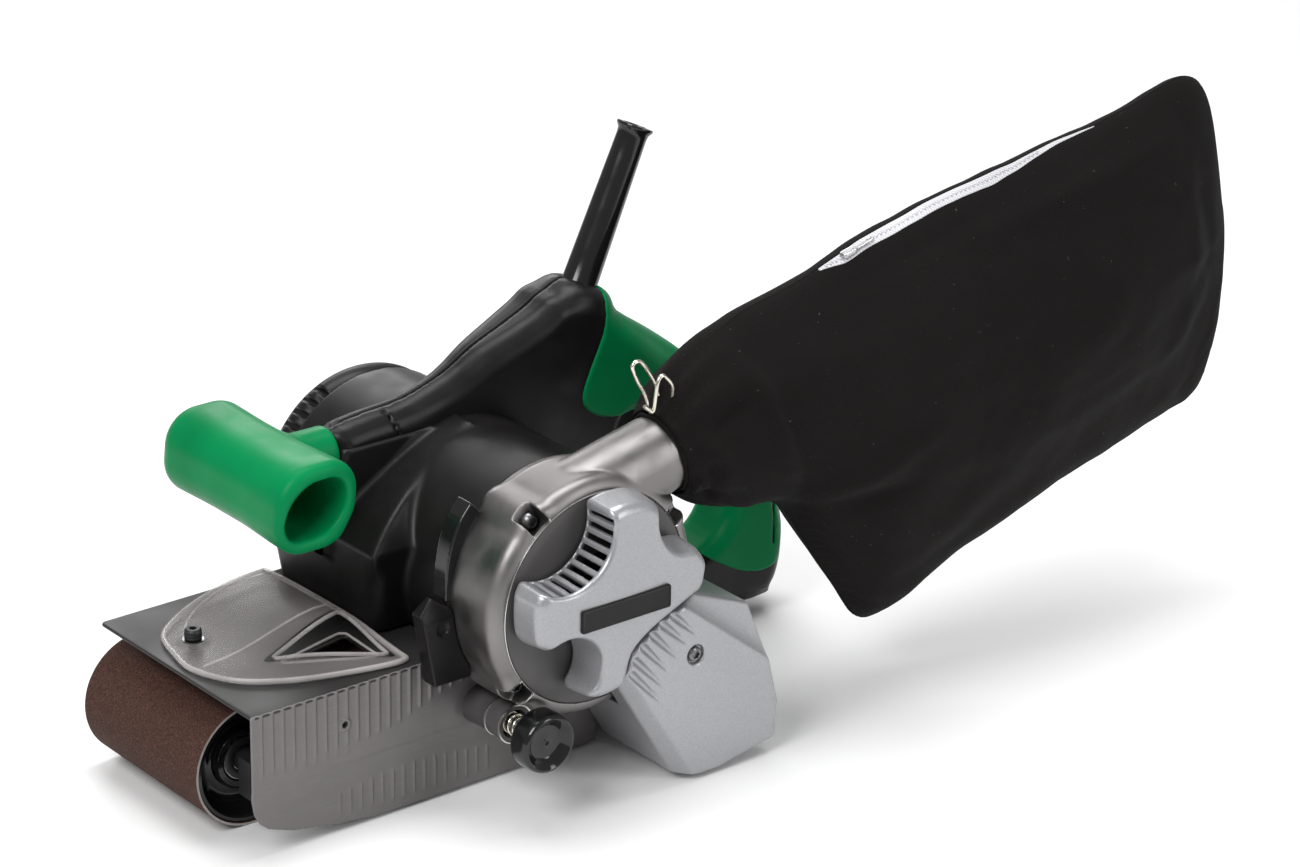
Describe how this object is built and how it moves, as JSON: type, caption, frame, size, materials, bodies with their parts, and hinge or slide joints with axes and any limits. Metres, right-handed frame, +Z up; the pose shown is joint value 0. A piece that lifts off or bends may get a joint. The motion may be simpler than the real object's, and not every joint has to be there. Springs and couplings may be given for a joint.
{
  "type": "handheld belt sander",
  "caption": "Corded handheld belt sander with two rollers, a cushioned platen, a cross grip in front, a D handle behind and a cloth dust bag on a side nozzle.",
  "frame": {"origin": "middle of the flat sanding run of the abrasive belt, on the work surface", "axes": "+X to the rear along the belt, -Y to the drive side with the fan housing, +Z up"},
  "size_m": [0.622, 0.237, 0.2924],
  "materials": {
    "dark_sheet": "satin",
    "cast_metal": "satin cast",
    "frame_metal": "as cast",
    "silver_plastic": "satin silver",
    "face_plastic": "matte",
    "black_plastic": "fine texture",
    "gloss_black": "gloss",
    "green_rubber": "smooth",
    "black_rubber": "smooth",
    "steel": "machined",
    "wire_steel": "plated",
    "iron": "laminated",
    "brass": "machined",
    "cork": "cork",
    "abrasive": "grit on cloth",
    "clear_plastic": "clear",
    "bag_cloth": "woven",
    "zip_tape": "woven"
  },
  "bodies": {
    "sander": {"abrasive_belt": "abrasive", "armature_bearings": "steel", "badge_plate": "gloss_black", "belt_cover": "silver_plastic", "brush_caps": "black_plastic", "brush_holders": "brass", "carbon_brushes": "face_plastic", "chip_deflector": "clear_plastic", "cord_armour": "gloss_black", "cork_pad": "cork", "cover_screws": "steel", "drive_bearings": "steel", "fan_backplate": "frame_metal", "fan_face_disc": "face_plastic", "fan_housing": "cast_metal", "fan_housing_screws": "steel", "frame_casting": "frame_metal", "front_grip": "green_rubber", "grip_pads": "green_rubber", "handle_shell_far": "black_plastic", "handle_shell_near": "black_plastic", "housing_screws": "steel", "intake_cover": "silver_plastic", "knob_collar": "steel", "knob_spring": "wire_steel", "lever_pin": "steel", "motor_end_cap": "black_plastic", "motor_housing": "black_plastic", "platen_sheet": "steel", "platen_shoe": "frame_metal", "side_cover": "dark_sheet", "side_lug": "dark_sheet", "stator_coils": "brass", "stator_core": "iron", "switch_block": "black_plastic", "tension_spring": "wire_steel", "toothed_belt": "black_rubber"},
    "drive": {"drive_roller_core": "frame_metal", "drive_roller_tyre": "black_rubber", "drive_shaft": "steel", "driven_pulley": "steel"},
    "rotor": {"armature_shaft": "steel", "armature_core": "iron", "commutator": "brass", "cooling_fan": "face_plastic", "dust_fan": "face_plastic", "motor_pulley": "steel"},
    "fork": {"tension_fork": "frame_metal", "front_roller_shaft": "steel"},
    "front_roller_set": {"front_roller": "black_plastic", "front_roller_bearings": "steel"},
    "lever": {"tension_lever": "steel"},
    "knob": {"tracking_knob": "gloss_black", "tracking_screw": "steel"},
    "trigger_body": {"trigger": "black_plastic"},
    "lock_body": {"lock_button": "black_plastic"},
    "bag": {"dust_bag": "bag_cloth", "bag_collar": "black_plastic", "bag_spring_clip": "wire_steel", "bag_zip": "zip_tape"}
  },
  "joints": [
    {"name": "drive_spin", "type": "hinge", "parent": "sander", "child": "drive", "pos_m": [0.10286, 0, 0.0322], "axis": [0, 1, 0], "continuous": true},
    {"name": "armature_spin", "type": "hinge", "parent": "sander", "child": "rotor", "pos_m": [0.048, 0, 0.106], "axis": [0, 1, 0], "continuous": true},
    {"name": "fork_slide", "type": "slide", "parent": "sander", "child": "fork", "axis": [1, 0, 0], "range_m": [0, 0.008], "deforming": ["tension_spring"]},
    {"name": "lever_swing", "type": "hinge", "parent": "sander", "child": "lever", "pos_m": [0.012, 0.0455, 0.032], "axis": [0, 0, -1], "range_deg": [0, 75.5]},
    {"name": "front_roller_spin", "type": "hinge", "parent": "fork", "child": "front_roller_set", "pos_m": [-0.10286, 0, 0.0322], "axis": [0, 1, 0], "continuous": true},
    {"name": "tracking_turn", "type": "hinge", "parent": "sander", "child": "knob", "pos_m": [0.0075, -0.13, 0.0456], "axis": [0, -1, 0], "range_deg": [-360, 360]},
    {"name": "trigger_pull", "type": "slide", "parent": "sander", "child": "trigger_body", "axis": [0.8434, 0, 0.5373], "range_m": [0, 0.006], "stiffness_N_per_m": 400, "springref_m": -0.003},
    {"name": "lock_press", "type": "slide", "parent": "sander", "child": "lock_body", "axis": [0, -1, 0], "range_m": [0, 0.003], "stiffness_N_per_m": 500, "springref_m": -0.002},
    {"name": "bag_pull", "type": "slide", "parent": "sander", "child": "bag", "axis": [0.9703, 0, 0.2419], "range_m": [0, 0.015]}
  ],
  "couplings": [
    {"joint": "armature_spin", "follows": "drive_spin", "ratio": 3},
    {"joint": "front_roller_spin", "follows": "drive_spin", "ratio": 1},
    {"joint": "lever_swing", "follows": "fork_slide", "rad_per_m": 163.62}
  ]
}
